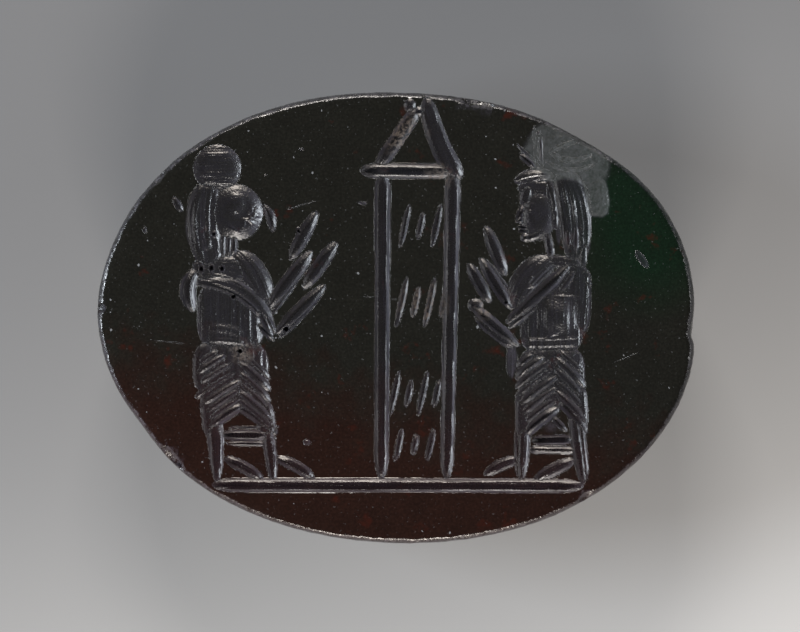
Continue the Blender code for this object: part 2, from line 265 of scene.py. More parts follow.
# The standing figure on the left, facing right, with a disc on its head
BIRD_HEADED_FIGURE = [
    # The disc, worked in level strokes
    stroke(-5.76, 4.25, -4.38, 4.25, 1.38, 0.17, blunt=0.02, flat=0.45),
    soften(-5.5, 4.66, -4.62, 4.68, 0.14, 0.035, blunt=0.6),
    soften(-5.7, 4.08, -4.6, 4.1, 0.26, 0.035, blunt=0.6),
    soften(-5.6, 3.9, -4.9, 3.92, 0.2, 0.03, blunt=0.6),
    # The bulging wig, its lappets and the collar
    stroke(-5.32, 3.9, -5.22, 1.3, 1.1, 0.18, end_width=0.86, blunt=0.55, flat=0.6, bow=-0.16,
           corner=2.2),
    *sweep(((-5.62, 3.6), (-5.62, 1.7), -0.3), ((-5.1, 3.8), (-5.12, 2.0), -0.04),
           5, 0.17, 0.027, blunt=0.6),
    *sweep(((-5.52, 3.66), (-5.5, 2.3), -0.24), ((-5.14, 3.76), (-5.16, 2.4), -0.04),
           3, 0.07, 0.013),
    touch((-5.4, 2.08), 0.34, 0.06, 0.46, flat=0.2, over=True),
    touch((-5.17, 2.38), 0.16, 0.2, 0.26, over=True),
    stroke(-5.8, 1.4, -4.2, 1.36, 0.78, 0.12, blunt=0.8, flat=0.5),
    *sweep(((-4.9, 2.5), (-4.92, 1.66), 0.0), ((-4.6, 2.4), (-4.66, 1.74), 0.04),
           3, 0.2, 0.16, kind=stroke),
    # The bird's head, eye and beak
    stroke(-5.34, 3.0, -3.77, 3.0, 1.62, 0.28, blunt=0.0, flat=0.49),
    touch((-4.54, 3.22), 0.66, 0.08, 0.8, flat=0.2, over=True),
    soften(-4.52, 2.78, -3.9, 2.84, 0.06, 0.045),
    soften(-4.28, 2.86, -3.98, 2.62, 0.06, 0.045),
    soften(-4.3, 2.86, -4.34, 2.5, 0.05, 0.035),
    soften(-4.86, 2.66, -4.42, 2.38, 0.2, 0.05),
    stroke(-3.77, 3.24, -3.49, 2.43, 0.3, 0.14, blunt=0.05, bow=0.08),
    *crumble((-4.05, 3.0), 0.17, 8, 0.16, 0.06),
    touch((-5.53, 1.4), 0.18, 0.34, 0.42),
    touch((-5.24, 1.42), 0.18, 0.34, 0.38),
    touch((-4.94, 1.4), 0.18, 0.34, 0.26),
    # Shoulders and arms
    stroke(-4.56, 1.9, -3.66, 0.34, 0.78, 0.18, blunt=0.4, flat=0.2, bow=0.13),
    stroke(-5.62, 1.46, -5.76, 0.16, 0.48, 0.25, blunt=0.3, bow=-0.22),
    stroke(-5.76, 1.06, -3.46, -0.34, 0.6, 0.24, blunt=0.2, flat=0.3, bow=0.42),
    soften(-5.64, 0.96, -3.6, -0.34, 0.24, 0.08, bow=0.32),
    soften(-5.6, 1.2, -4.06, 0.66, 0.13, 0.04, bow=0.22),
    stroke(-4.06, 0.58, -3.5, -0.56, 0.24, 0.24),
    stroke(-3.84, 0.36, -3.4, -0.46, 0.18, 0.2),
    stroke(-3.98, -0.1, -3.46, -0.66, 0.18, 0.2),
    *sweep(((-4.66, 1.72), (-3.8, 0.5), 0.06), ((-4.3, 1.86), (-3.58, 0.5), 0.16), 5, 0.11, 0.03),
    # Raised hands
    stroke(-3.02, 1.64, -2.24, 3.04, 0.41, 0.19, blunt=0.12, flat=0.3),
    stroke(-3.64, 0.26, -2.38, 1.92, 0.44, 0.2, blunt=0.25, flat=0.3),
    stroke(-3.56, 0.06, -2.72, 1.18, 0.16, 0.11, blunt=0.1),
    stroke(-2.64, 0.82, -1.68, 2.18, 0.42, 0.19, blunt=0.2, flat=0.3),
    stroke(-3.42, -0.46, -2.0, 0.94, 0.42, 0.2, blunt=0.12, flat=0.3),
    stroke(-3.34, -0.6, -2.16, 0.58, 0.2, 0.11, blunt=0.1),
    touch((-2.78, 2.5), 0.14, 0.2, 0.22, over=True),
    # Body: a smooth dark floor behind the arm, a streaked front edge and the folds of the sash
    stroke(-4.66, 1.1, -4.68, -0.96, 1.96, 0.15, blunt=1.0, flat=0.55, corner=3.0),
    soften(-4.22, 0.6, -4.18, -0.8, 0.26, 0.05),
    soften(-4.0, 0.4, -3.94, -0.84, 0.16, 0.05),
    soften(-5.62, -0.34, -4.04, -0.7, 0.4, 0.08, blunt=0.2, bow=0.2),
    soften(-5.56, -0.66, -3.9, -0.84, 0.24, 0.05, blunt=0.3, bow=0.1),
    soften(-5.5, -0.96, -4.1, -1.0, 0.26, 0.04, blunt=0.7, flat=0.2),
    soften(-5.04, -1.18, -4.1, -1.26, 0.14, 0.04, blunt=0.7),
    # Skirt
    stroke(-4.6, -0.66, -4.56, -2.56, 1.96, 0.15, blunt=1.0, flat=0.62, corner=3.6),
    stroke(-5.36, -0.66, -5.36, -2.2, 0.6, 0.13, blunt=0.5, flat=0.5, bow=-0.12),
    stroke(-5.3, -1.7, -5.16, -3.5, 0.62, 0.14, blunt=0.6, flat=0.4),
    stroke(-3.8, -2.3, -3.62, -3.44, 0.56, 0.13, blunt=0.6, flat=0.5),
    *pleats(-4.36, (
        (-0.62, -0.92, -0.62, 0.42), (-0.4, -1.04, -0.86, 0.54), (-0.2, -1.26, -1.0, 0.62),
        (-0.04, -1.48, -1.14, 0.7), (0.05, -1.74, -1.12, 0.72), (0.06, -1.98, -1.1, 0.72),
        (0.06, -2.22, -1.06, 0.72), (0.05, -2.46, -0.98, 0.66),
    ), 0.3, 0.22),
    *pleats(-4.5, (
        (0.02, -0.96, 0.8, 0.7), (-0.02, -1.22, 0.84, 0.76), (-0.04, -1.48, 0.86, 0.82),
        (-0.05, -1.76, 0.92, 0.88), (-0.05, -2.02, 0.98, 0.9), (-0.05, -2.28, 1.02, 0.88),
        (-0.04, -2.5, 1.0, 0.72),
    ), 0.3, 0.22),
    # Hem, legs and feet
    stroke(-4.98, -3.32, -3.52, -3.34, 0.34, 0.22, flat=0.3),
    stroke(-4.78, -3.12, -3.8, -3.1, 0.08, 0.05),
    stroke(-4.82, -3.56, -3.6, -3.58, 0.16, 0.12),
    stroke(-5.15, -2.8, -5.07, -4.7, 0.6, 0.22, end_width=0.28, blunt=0.5, flat=0.25),
    soften(-4.98, -3.1, -4.96, -4.5, 0.14, 0.06),
    stroke(-3.66, -3.06, -3.47, -4.7, 0.42, 0.22, end_width=0.28, blunt=0.4, flat=0.2),
    soften(-3.5, -3.2, -3.38, -4.6, 0.14, 0.06),
    stroke(-4.9, -3.98, -3.76, -4.6, 0.34, 0.16, flat=0.3, bow=0.05),
    stroke(-3.42, -3.96, -2.32, -4.56, 0.34, 0.16, flat=0.3, bow=0.06),
    *crumble((-3.42, -3.16), 0.12, 5, 0.14, 0.07),
    # Pits that the drill left
    *[touch(place, 0.15, 0.6) for place in ((-4.62, 0.6), (-4.43, -0.94), (-3.12, -0.32))],
]

# The standing figure on the right, facing left, with a plain head and a damaged crown
CROWNED_FIGURE = [
    # What is left of the crown
    stroke(3.5, 4.68, 4.0, 4.24, 0.22, 0.14),
    stroke(3.4, 4.96, 4.06, 4.34, 0.1, 0.04),
    stroke(3.92, 5.5, 3.99, 4.28, 0.1, 0.06),
    stroke(4.11, 5.26, 4.14, 4.26, 0.14, 0.16),
    touch((4.05, 5.26), 0.16, 0.12, 0.12),
    stroke(4.34, 4.68, 5.2, 5.02, 0.16, 0.1, bow=0.06),
    stroke(4.36, 4.7, 5.6, 4.66, 0.18, 0.1, bow=-0.2),
    stroke(4.24, 4.46, 5.7, 4.4, 0.15, 0.09, bow=-0.24),
    # Roll of hair over the brow
    stroke(3.46, 3.68, 4.56, 3.66, 0.46, 0.09, blunt=0.5, flat=0.5),
    stroke(3.34, 3.86, 4.56, 4.02, 0.44, 0.09, blunt=0.1, flat=0.2, bow=0.1),
    soften(3.42, 3.98, 4.4, 4.08, 0.16, 0.04, bow=0.06),
    stroke(3.4, 3.68, 4.46, 3.4, 0.14, 0.07, bow=0.1),
    # The wig
    stroke(4.8, 4.18, 5.1, 1.6, 1.08, 0.16, end_width=0.8, blunt=0.5, flat=0.6, bow=0.13,
           corner=2.2),
    *plain_head(),
    stroke(4.3, 3.98, 4.52, 2.5, 0.34, 0.13, blunt=0.4, flat=0.2, bow=0.03),
    *sweep(((4.42, 4.02), (4.64, 1.96), 0.02), ((5.16, 3.84), (5.4, 1.6), 0.16), 6, 0.18, 0.043,
           blunt=0.6),
    soften(4.6, 3.4, 4.7, 2.56, 0.07, 0.035),
    soften(4.76, 3.4, 4.84, 2.6, 0.07, 0.035),
    soften(5.0, 3.8, 5.12, 2.6, 0.06, 0.03),
    soften(4.86, 2.6, 4.88, 1.86, 0.16, 0.1),
    soften(5.12, 2.62, 5.12, 1.8, 0.14, 0.1),
    stroke(5.32, 2.8, 5.3, 1.36, 0.3, 0.13, flat=0.1),
    stroke(4.28, 2.46, 4.42, 1.66, 0.26, 0.13, flat=0.2),
    # Shoulders and arms
    stroke(4.46, 1.74, 3.36, 0.24, 0.86, 0.18, blunt=0.5, flat=0.2, bow=-0.2),
    stroke(5.02, 1.58, 3.12, -0.16, 0.42, 0.26, blunt=0.2, flat=0.25, bow=0.03),
    stroke(4.24, 0.52, 3.18, -0.3, 0.22, 0.2),
    stroke(4.3, 1.62, 5.24, 1.5, 0.36, 0.07, blunt=0.6, flat=0.3, bow=0.03),
    stroke(5.14, 1.44, 4.56, 0.62, 0.24, 0.17, bow=0.03),
    soften(3.66, 0.88, 4.06, 0.92, 0.06, 0.05),
    soften(3.72, 0.96, 3.92, 1.26, 0.06, 0.04),
    *sweep(((4.2, 1.78), (3.3, 0.4), -0.24), ((4.6, 1.52), (3.46, 0.36), -0.04), 6, 0.11, 0.03),
    # Raised hands
    stroke(2.54, 2.62, 3.12, 1.18, 0.4, 0.19, blunt=0.12, flat=0.3),
    stroke(2.38, 1.72, 3.28, 0.24, 0.36, 0.21, blunt=0.2, flat=0.3),
    stroke(2.58, 1.66, 3.3, 0.66, 0.12, 0.08),
    stroke(2.04, 1.56, 2.68, 0.42, 0.36, 0.18, blunt=0.2, flat=0.3),
    stroke(2.06, 0.44, 3.5, -0.82, 0.36, 0.22, blunt=0.12, flat=0.3),
    stroke(2.24, 0.04, 3.34, -0.86, 0.3, 0.11, blunt=0.4, flat=0.4),
    touch((2.26, 0.36), 0.46, 0.14, 0.4, flat=0.3),
    touch((3.12, 0.42), 0.16, 0.16, 0.14, over=True),
    # Body, as on the other figure, and the folds of the sash
    stroke(5.0, 1.62, 4.92, -0.6, 1.1, 0.1, blunt=0.8, flat=0.3, bow=0.05, corner=2.4),
    stroke(4.44, 1.0, 4.42, -1.06, 1.84, 0.15, blunt=1.0, flat=0.5, corner=3.0),
    soften(4.5, 0.76, 4.58, -0.66, 1.3, 0.24, blunt=0.3),
    soften(4.84, 0.5, 4.9, -0.56, 0.5, 0.04, blunt=0.2),
    soften(5.1, 0.5, 5.08, -0.5, 0.3, 0.04, blunt=0.2),
    soften(4.46, 0.62, 5.4, 0.56, 0.14, 0.035, blunt=0.4),
    stroke(5.18, 1.34, 5.54, 1.18, 0.18, 0.07),
    stroke(5.18, 1.06, 5.58, 0.94, 0.2, 0.07),
    stroke(5.16, 0.72, 5.52, 0.66, 0.18, 0.07),
    soften(4.2, -0.62, 4.66, -0.36, 0.1, 0.06),
    soften(3.52, -0.58, 5.28, -0.52, 0.13, 0.045, blunt=0.7, bow=-0.05),
    soften(3.48, -0.78, 5.24, -0.74, 0.2, 0.045, blunt=0.7),
    soften(3.6, -1.0, 5.2, -1.04, 0.13, 0.045, blunt=0.7, bow=-0.02),
    # Skirt
    stroke(4.42, -0.8, 4.44, -2.56, 1.9, 0.15, blunt=1.0, flat=0.62, corner=3.6),
    stroke(3.3, -0.7, 3.28, -1.76, 0.34, 0.03),
    stroke(3.62, -2.0, 3.62, -3.6, 0.48, 0.14, blunt=0.6, flat=0.2),
    stroke(5.16, -1.9, 5.24, -3.1, 0.5, 0.12, blunt=0.7, flat=0.6),
    *pleats(4.62, (
        (-0.66, -1.04, -0.46, 0.34), (-0.34, -1.08, -0.78, 0.58), (-0.12, -1.18, -0.98, 0.72),
        (0.02, -1.36, -1.1, 0.8), (0.05, -1.62, -1.12, 0.84), (0.05, -1.92, -1.1, 0.84),
        (0.05, -2.22, -1.04, 0.8), (-0.06, -2.6, -0.88, 0.7),
    ), 0.32, 0.22),
    *pleats(4.46, (
        (0.14, -0.92, 0.64, 0.64), (-0.02, -1.08, 0.82, 0.8), (-0.05, -1.38, 0.86, 0.84),
        (-0.03, -1.7, 0.86, 0.84), (-0.02, -2.02, 0.88, 0.9), (0.18, -2.38, 0.7, 0.78),
    ), 0.32, 0.22),
    # Hem, legs and feet
    stroke(5.0, -2.58, 5.32, -4.74, 0.38, 0.22, blunt=0.1, flat=0.2),
    stroke(5.24, -2.8, 5.42, -4.6, 0.2, 0.15),
    stroke(3.66, -2.9, 3.56, -4.68, 0.42, 0.2, end_width=0.32, flat=0.25),
    stroke(3.42, -3.1, 3.44, -4.5, 0.16, 0.12),
    stroke(3.84, -3.48, 5.06, -3.45, 0.3, 0.22, blunt=0.6, flat=0.2),
    stroke(3.76, -3.73, 5.14, -3.77, 0.24, 0.12, blunt=0.8, flat=0.1),
    stroke(4.4, -2.76, 4.86, -3.24, 0.2, 0.12),
    soften(4.44, -2.66, 4.4, -3.36, 0.5, 0.016, end_width=0.8, blunt=0.3, flat=0.2),
    stroke(2.5, -4.46, 3.54, -3.98, 0.34, 0.13, flat=0.3, bow=0.05),
    stroke(3.9, -4.64, 5.1, -4.02, 0.38, 0.15, flat=0.3, bow=0.03),
]

# Small knocks that the polished face has taken
NICKS = [
    stroke(-6.34, 3.44, -6.06, 3.02, 0.22, 0.09, flat=0.2),
    stroke(-2.76, 4.8, -2.6, 4.78, 0.08, 0.03),
    stroke(-1.1, 3.28, -0.8, 3.25, 0.1, 0.03),
    stroke(6.8, 1.92, 7.16, 1.42, 0.22, 0.05, flat=0.2),
    touch((-2.53, -3.53), 0.24, 0.04, 0.2),
    touch((-7.13, 2.5), 0.13, 0.05, 0.2),
    touch((-3.7, 4.06), 0.07, 0.03),
    stroke(-3.2, 3.05, -2.2, 3.35, 0.05, 0.009),
    stroke(-1.1, 0.62, 0.1, 0.52, 0.04, 0.009),
    stroke(-7.05, -0.62, -5.9, -0.74, 0.04, 0.008),
    stroke(6.1, -1.3, 6.95, -0.95, 0.04, 0.009),
]

# Shallow flakes off the face
FLAKES = [
    Flake((4.86, 4.52), 2.56, 1.72, 0.09, math.radians(-27)),
    Flake((5.66, 3.46), 0.86, 1.3, 0.07, math.radians(10)),
]

# Scoops out of the rim
SCOOPS = [
    Scoop(180.5, 0.03, 0.34, 0.22, 0.3, 0.0),
    Scoop(145, 0.02, 1.2, 0.14, 0.18, 0.0),
    Scoop(222, 0.02, 1.1, 0.26, 0.26, 0.0),
    Scoop(76, 0.04, 1.3, 0.22, 0.22, 0.0),
    Scoop(-50, 0.04, 0.5, 0.22, 0.24, 0.0),
]


def smooth_noise(x, y, seed):
    """Soft noise from -1 to 1 with one knot per unit."""
    column, row = np.floor(x), np.floor(y)
    over, up = x - column, y - row
    over, up = over * over * (3 - 2 * over), up * up * (3 - 2 * up)

    def knot(i, j):
        value = np.sin(i * 127.1 + j * 311.7 + seed * 74.7) * 43758.5453
        return (value - np.floor(value)) * 2 - 1

    low = knot(column, row) * (1 - over) + knot(column + 1, row) * over
    high = knot(column, row + 1) * (1 - over) + knot(column + 1, row + 1) * over
    return low * (1 - up) + high * up


def carve(x, y, strokes):
    """How deep the strokes go at each point, and the places across and along the stroke that goes deepest."""
    depth, lay_across, lay_along = np.zeros_like(x), np.zeros_like(x), np.zeros_like(x)
    ragged = 0.6 * smooth_noise(x / 0.07, y / 0.07, 3) + 0.4 * smooth_noise(x / 0.16, y / 0.16, 4)
    margin, shift, fewer = 0.05, 3.7, 8
    for number, cut in enumerate(strokes):
        (x0, y0), (x1, y1) = cut.start, cut.end
        length = math.hypot(x1 - x0, y1 - y0)
        run_x, run_y = (x1 - x0) / length, (y1 - y0) / length
        widest = max(cut.width, cut.end_width)
        reach = widest / 2 + abs(cut.bow) + margin
        near = (x > min(x0, x1) - reach) & (x < max(x0, x1) + reach)
        near &= (y > min(y0, y1) - reach) & (y < max(y0, y1) + reach)
        here_x, here_y = x[near] - (x0 + x1) / 2, y[near] - (y0 + y1) / 2
        along = here_x * run_x + here_y * run_y
        share = along / (length / 2)
        across = here_y * run_x - here_x * run_y - cut.bow * (1 - share * share)

        cap = length / 2 + (min(widest, length) / 2 - length / 2) * cut.blunt
        tip = np.clip((np.abs(along) - (length / 2 - cap)) / cap, 0, 1)
        width = cut.width + (cut.end_width - cut.width) * (share / 2 + 0.5)
        out = ((np.abs(across) / (width / 2)) ** cut.corner + tip ** cut.corner) ** (1 / cut.corner)
        if not cut.over:
            out *= 1 + RAGGED * min(1, RAGGED_WIDTH / widest) * ragged[near]
        wall = np.clip((1 - out) / (1 - cut.flat), 0, 1)
        round_floor, soft_floor = wall * (2 - wall), wall * wall * (3 - 2 * wall)
        level = SHALLOW * cut.depth * width / widest * (soft_floor if cut.over else round_floor)
        level = np.where((out < 1) & (np.abs(along) < length / 2), level, 0)

        if cut.over:
            depth[near] += level
            continue
        # A drill turns on one spot: its marks run round it, and they are fewer
        if cut.blunt == 0:
            across, along = out * widest / fewer, np.arctan2(np.abs(across), along) * widest / 2
        # Each stroke takes another part of the pattern of wheel marks
        across = across + number * shift
        new = level > depth[near]
        for field, values in ((depth, level), (lay_across, across), (lay_along, along)):
            kept = field[near]
            kept[new] = values[new]
            field[near] = kept
    return depth, lay_across, lay_along


# Shaping the gem

def outline(angles, inset, sizes):
    """Points of the outline, this far inside it, for an array of angles."""
    across, up = np.cos(angles), np.sin(angles)
    share = (np.abs(across) ** OVAL_FULLNESS + np.abs(up) ** OVAL_FULLNESS) ** (-1 / OVAL_FULLNESS)
    points = np.stack([sizes.half_length / MM * across, sizes.half_width / MM * up], axis=-1) * share[:, None]
    degrees = np.degrees(angles) % 360
    for place, width, amount in UNEVENNESS:
        away = (degrees - place + 180) % 360 - 180
        bulge = amount * np.exp(-((away / width) ** 2))
        points += points / np.linalg.norm(points, axis=1)[:, None] * bulge[:, None]
    slope = np.stack([across / sizes.half_length, up / sizes.half_width], axis=-1)
    points -= slope / np.linalg.norm(slope, axis=1)[:, None] * np.reshape(inset, (-1, 1))
    cos, sin = math.cos(OVAL_TURN), math.sin(OVAL_TURN)
    turned = [cos * points[:, 0] - sin * points[:, 1], sin * points[:, 0] + cos * points[:, 1]]
    return np.stack(turned, axis=-1) + np.array(OVAL_MIDDLE)


def place_ring(verts, turn, drop, inset, sizes):
    """Puts one ring of the side at its height and inset, with the rough edge of a hand-ground rim."""
    angles = np.array([vert[turn] for vert in verts])
    rough = sum(strength * smooth_noise(angles * round_it, np.full_like(angles, drop * down_it), seed)
                for round_it, down_it, strength, seed in RIM_CHIPS)
    strength = RIM_ROUGHNESS * max(0.0, 1 - drop / RIM_ROUGH_DROP)
    # Grinding takes a share of the roughness off all round, and chips eat up to as much again
    inset = inset + strength * (0.6 + 0.6 * rough)
    for place, width, amount in DENT:
        gap = np.exp(-(((np.degrees(angles) - place) / width) ** 2))
        inset += amount * max(0.0, 1 - drop / DENT_DROP) * gap
    for vert, (x, y) in zip(verts, outline(angles, inset, sizes)):
        vert.co = (x * MM, y * MM, sizes.thickness - drop * MM)


def raise_side(gem, sizes):
    """Extrudes the ring of the back up to the edge of the face, then closes both ends."""
    shape = bmesh.from_edit_mesh(gem.data)
    turn = shape.verts.layers.float.new("turn")
    for vert in shape.verts:
        vert[turn] = math.atan2(vert.co.y, vert.co.x)
    for ring, (drop, inset) in enumerate(SIDE_RINGS):
        if ring:
            bpy.ops.mesh.extrude_edges_move(TRANSFORM_OT_translate={"value": (0, 0, MM * 0.01)})
            shape = bmesh.from_edit_mesh(gem.data)
            turn = shape.verts.layers.float["turn"]
        place_ring([vert for vert in shape.verts if vert.select], turn, drop, inset, sizes)
        bmesh.update_edit_mesh(gem.data)
    bpy.ops.mesh.edge_face_add()
    bpy.ops.mesh.select_all(action="DESELECT")
    bpy.ops.mesh.select_mode(type="VERT")
    shape = bmesh.from_edit_mesh(gem.data)
    for vert in shape.verts:
        vert.select = vert.co.z < 0.001 * MM
    shape.select_flush(True)
    bmesh.update_edit_mesh(gem.data)
    bpy.ops.mesh.edge_face_add()
    bpy.ops.mesh.select_all(action="SELECT")
    bpy.ops.mesh.normals_make_consistent(inside=False)


def select_level_faces(gem, wanted, sizes):
    """Selects the faces of the level top that the test wants, which gets their middles and the faces."""
    bpy.ops.mesh.select_mode(type="FACE")
    bpy.ops.mesh.select_all(action="DESELECT")
    shape = bmesh.from_edit_mesh(gem.data)
    lowest = sizes.thickness - 0.0001 * MM
    level = [face for face in shape.faces if face.normal.z > 0.9 and face.calc_center_median().z > lowest]
    middles = np.array([face.calc_center_median()[:2] for face in level]) / MM
    for face, chosen in zip(level, wanted(middles, level)):
        face.select = bool(chosen)
    shape.select_flush_mode()
    bmesh.update_edit_mesh(gem.data)


def cut_into_cells(gem, sizes):
    """Cuts the level face into square cells with bisect."""
    select_level_faces(gem, lambda middles, faces: np.ones(len(faces)), sizes)
    bpy.ops.mesh.hide(unselected=True)
    margin = 0.2 * MM
    for axis, half in enumerate((sizes.half_length, sizes.half_width)):
        count = int(2 * (half + margin) / sizes.cell)
        normal = Vector((0.0, 0.0, 0.0))
        normal[axis] = 1.0
        for i in range(count + 1):
            bpy.ops.mesh.select_all(action="SELECT")
            where = normal * (i - count / 2) * sizes.cell
            bpy.ops.mesh.bisect(plane_co=where, plane_no=normal, use_fill=False)
    bpy.ops.mesh.reveal(select=False)


def work_map(strokes):
    """A coarse map of where there is work, by column and row of the map's cells."""
    columns, rows = (np.arange(-reach, reach, MAP_STEP) for reach in MAP_REACH)
    x, y = np.meshgrid(columns, rows, indexing="ij")
    worked = carve(x.ravel(), y.ravel(), strokes)[0].reshape(x.shape) > 0
    return worked | (flaked(x.ravel(), y.ravel())[0].reshape(x.shape) > FROSTED_DEPTH)


def widened(worked, cells):
    """The map grown by this many of its cells on every side."""
    grown = worked
    for _ in range(cells):
        padded = np.pad(grown, 1)
        grown = padded[:-2, 1:-1] | padded[2:, 1:-1] | padded[1:-1, :-2] | padded[1:-1, 2:] | grown
    return grown


def refine_near_work(gem, strokes, sizes):
    """Halves the cells three times where the strokes and flakes lie, each time closer to them."""
    worked = work_map(strokes)

    def many_sided(faces):
        return np.array([len(face.verts) > 4 for face in faces])

    def touched(grown):
        def wanted(middles, faces):
            column, row = (np.clip(((middles[:, axis] + MAP_REACH[axis]) / MAP_STEP).astype(int), 0, last - 1)
                           for axis, last in enumerate(grown.shape))
            return grown[column, row]
        return wanted

    for margin in WORK_MARGINS:
        near = touched(widened(worked, margin))
        select_level_faces(gem, lambda middles, faces: near(middles, faces) & many_sided(faces), sizes)
        bpy.ops.mesh.poke()
        select_level_faces(gem, near, sizes)
        bpy.ops.mesh.subdivide(number_cuts=1)


def flaked(x, y):
    """Depth of the shallow flakes and how matte they are at each point."""
    depth, matte = np.zeros_like(x), np.zeros_like(x)
    coarse, fine = smooth_noise(x / 0.5, y / 0.5, 21), smooth_noise(x / 0.13, y / 0.13, 22)
    ragged, wander = 0.10 * coarse + 0.04 * fine, 5 * smooth_noise(x / 0.5, y / 0.5, 23)
    fullness, ripples, ripple_depth, slope, edge = 2.6, 22, 0.004, 0.7, 0.12
    for flake in FLAKES:
        cos, sin = math.cos(flake.turn), math.sin(flake.turn)
        over, up = x - flake.middle[0], y - flake.middle[1]
        over, up = (cos * over + sin * up) / flake.width * 2, (cos * up - sin * over) / flake.height * 2
        out = (np.abs(over) ** fullness + np.abs(up) ** fullness) ** (1 / fullness) + ragged
        inside = np.clip((1 - out) / slope, 0, 1)
        hollow = flake.depth * inside * (2 - inside) + ripple_depth * np.sin(out * ripples + wander)
        depth = np.maximum(depth, hollow * (out < 1))
        matte = np.maximum(matte, np.clip((1 - out) / edge, 0, 1))
    return depth, matte


def push_out_of_scoops(points, sizes):
    """Moves points that lie in a scoop to its wall. Returns the points and how fresh the break is at each."""
    broken, fade = np.zeros(len(points)), 0.12
    for scoop in SCOOPS:
        spot, ahead = outline(np.radians([scoop.angle, scoop.angle + 1]), scoop.inset, sizes)
        turn = math.atan2(ahead[1] - spot[1], ahead[0] - spot[0])
        middle = np.array([spot[0], spot[1], sizes.thickness / MM - scoop.drop])
        cos, sin = math.cos(turn), math.sin(turn)
        axes = np.array([[cos, sin, 0], [-sin, cos, 0], [0, 0, 1]])
        radii = np.array([scoop.along / 2, scoop.across, scoop.depth])
        local = (points - middle) @ axes.T / radii
        ragged = 1 + 0.22 * smooth_noise(points[:, 0] / 0.12, points[:, 1] / 0.12 + points[:, 2] / 0.1, 31)
        far = np.linalg.norm(local, axis=1) * ragged
        inside = far < 1
        local[inside] /= far[inside][:, None]
        points[inside] = middle + (local[inside] * radii) @ axes
        broken = np.maximum(broken, np.clip((1 + fade - far) / fade, 0, 1))
    return points, broken


def engrave(gem, strokes, sizes):
    """Sinks the strokes, flakes and scoops into the mesh and notes for the material where each one is."""
    mesh = gem.data
    face = sizes.thickness / MM
    points = np.empty(len(mesh.vertices) * 3, dtype=np.float32)
    mesh.vertices.foreach_get("co", points)
    points = points.reshape(-1, 3).astype(np.float64) / MM
    x, y = points[:, 0].copy(), points[:, 1].copy()
    top = points[:, 2] > face - 0.001

    depth, lay_across, lay_along = carve(x, y, strokes)
    step = 0.02
    slope_x = carve(x + step, y, strokes)[0] - carve(x - step, y, strokes)[0]
    slope_y = carve(x, y + step, strokes)[0] - carve(x, y - step, strokes)[0]
    steepness = np.hypot(slope_x, slope_y) / (2 * step)
    cut_share = np.clip(depth / FROSTED_DEPTH, 0, 1)
    grit, marks = smooth_noise(x / 0.07, y / 0.07, 5), smooth_noise(lay_across / 0.06, lay_along / 0.6, 6)
    flake_depth, matte = flaked(x, y)
    grain = GRAIN_HEIGHT * (0.3 * grit + 0.7 * marks)
    level = np.maximum(np.maximum(depth + grain * cut_share, flake_depth), 0)
    rim_loss = np.minimum(flake_depth, FLAKED_RIM_DEPTH) * (points[:, 2] > face - FLAKED_DROP)
    points[:, 2] -= np.where(top, level, rim_loss)
    matte *= np.clip(1 - (depth - flake_depth) / MATTE_FADE, 0, 1)
    points, broken = push_out_of_scoops(points, sizes)
    points[:, 2] = np.minimum(points[:, 2], face)
    mesh.vertices.foreach_set("co", (points * MM).astype(np.float32).ravel())

    worn_from, worn_to = WORN_DROPS
    worn = np.clip((points[:, 2] - face + worn_to) / (worn_to - worn_from), 0, 1) * ~top
    lip_from, lip_to = LIP_DEPTHS
    dull, bright = WALL_SLOPES
    notes = {
        "frost": cut_share * top,
        "matte": matte * (points[:, 2] > face - FLAKED_DROP),
        "rim": np.clip(worn + broken, 0, 1),
        # Steep walls get a paler colour as painted sheen and some painted glint; lips get a painted glint
        "wall": np.clip((steepness - dull) / (bright - dull), 0, 1) * cut_share * top,
        "lip": np.clip((lip_to - depth) / (lip_to - lip_from), 0, 1) * cut_share * top * (matte < 0.5),
    }
    for name, values in notes.items():
        mesh.attributes.new(name, "FLOAT", "POINT").data.foreach_set("value", values.astype(np.float32))
    lay = np.stack([lay_across, lay_along, depth], axis=-1).astype(np.float32)
    mesh.attributes.new("lay", "FLOAT_VECTOR", "POINT").data.foreach_set("vector", lay.ravel())
    mesh.attributes.remove(mesh.attributes["turn"])
    mesh.update()


# Materials

# Short names of nodes: type, settings, the sockets that values go to in turn, and the output
KINDS = {
    "NOISE": ("TexNoise", {}, ("Vector", "Scale", "Detail", "Roughness"), "Fac"),
    "STRAY": ("TexNoise", {}, ("Vector", "Scale", "Detail"), "Color"),
    "RAMP": ("ValToRGB", {}, ("Fac",), 0),
    "BLEND": ("Mix", {"data_type": "RGBA"}, (0, 6, 7), 2),
    "BLEND_VALUES": ("Mix", {"data_type": "FLOAT"}, (0, 2, 3), 0),
    "DISTANCE": ("VectorMath", {"operation": "DISTANCE"}, (0, 1), 1),
    "DOT": ("VectorMath", {"operation": "DOT_PRODUCT"}, (0, 1), 1),
    "SCALE": ("VectorMath", {"operation": "SCALE"}, (0, 3), 0),
    "TINT": ("VectorMath", {"operation": "MULTIPLY"}, (0, 1), 0),
    "SHIFT": ("VectorMath", {"operation": "MULTIPLY_ADD"}, (0, 1, 2), 0),
}
for operation in ("ADD", "SUBTRACT", "MULTIPLY", "MULTIPLY_ADD", "MAXIMUM", "POWER", "LESS_THAN"):
    KINDS[operation] = ("Math", {"operation": operation}, (0, 1, 2), 0)

